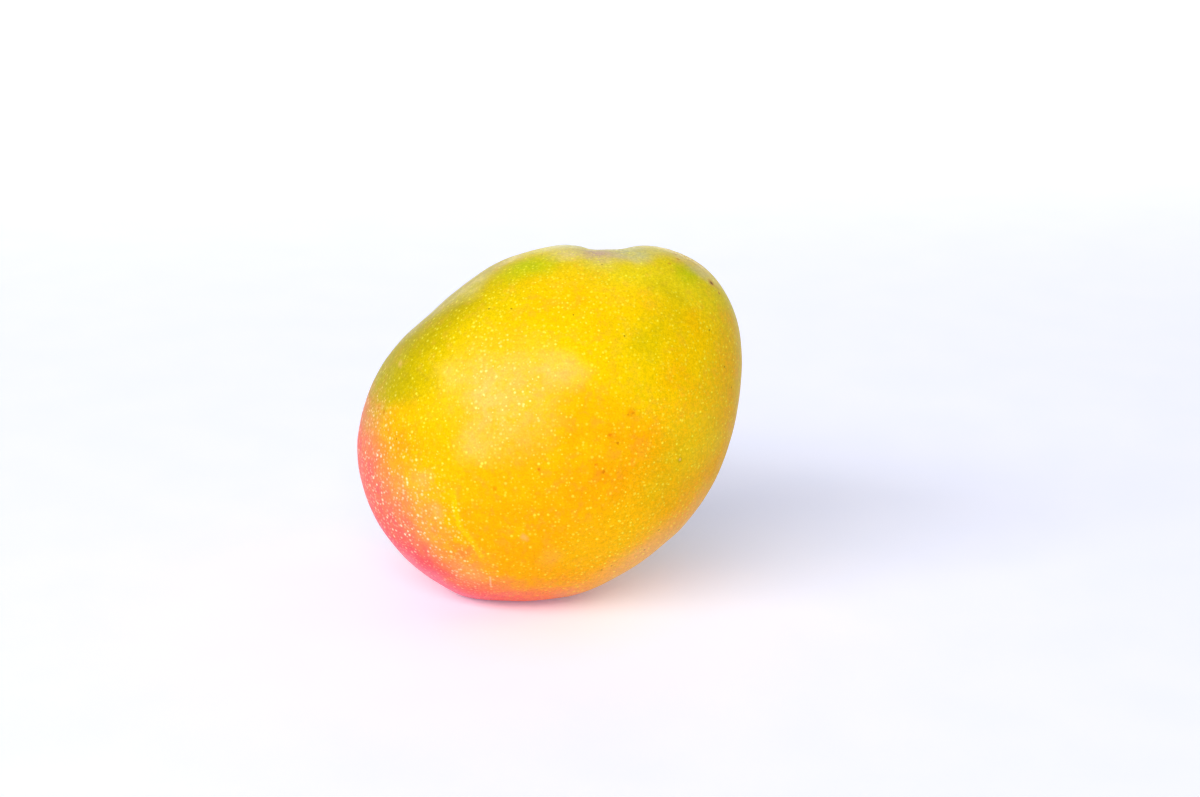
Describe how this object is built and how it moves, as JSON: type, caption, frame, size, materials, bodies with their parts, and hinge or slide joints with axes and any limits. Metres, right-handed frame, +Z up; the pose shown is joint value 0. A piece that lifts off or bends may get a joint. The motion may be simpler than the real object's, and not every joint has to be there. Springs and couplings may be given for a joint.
{
  "type": "mango",
  "caption": "Ripe yellow mango with a coral blush at its tip and a short stem stub in its stem hollow, resting on a small flat spot.",
  "frame": {"origin": "on the surface it rests on, under the middle of the fruit's box", "axes": "+Z up; +X the side that the long axis and the stem end rise to; -Y the broad front face, which leans back a little"},
  "size_m": [0.1106, 0.0868, 0.1012],
  "materials": {
    "skin": "smooth waxy fruit skin, soft gloss, yellow to orange with a coral blush, green patches and fine pale dots",
    "stem": "dry, rough and brown, with a paler snapped end"
  },
  "bodies": {
    "root": {"fruit": "skin", "stem_stub": "stem"}
  },
  "joints": []
}
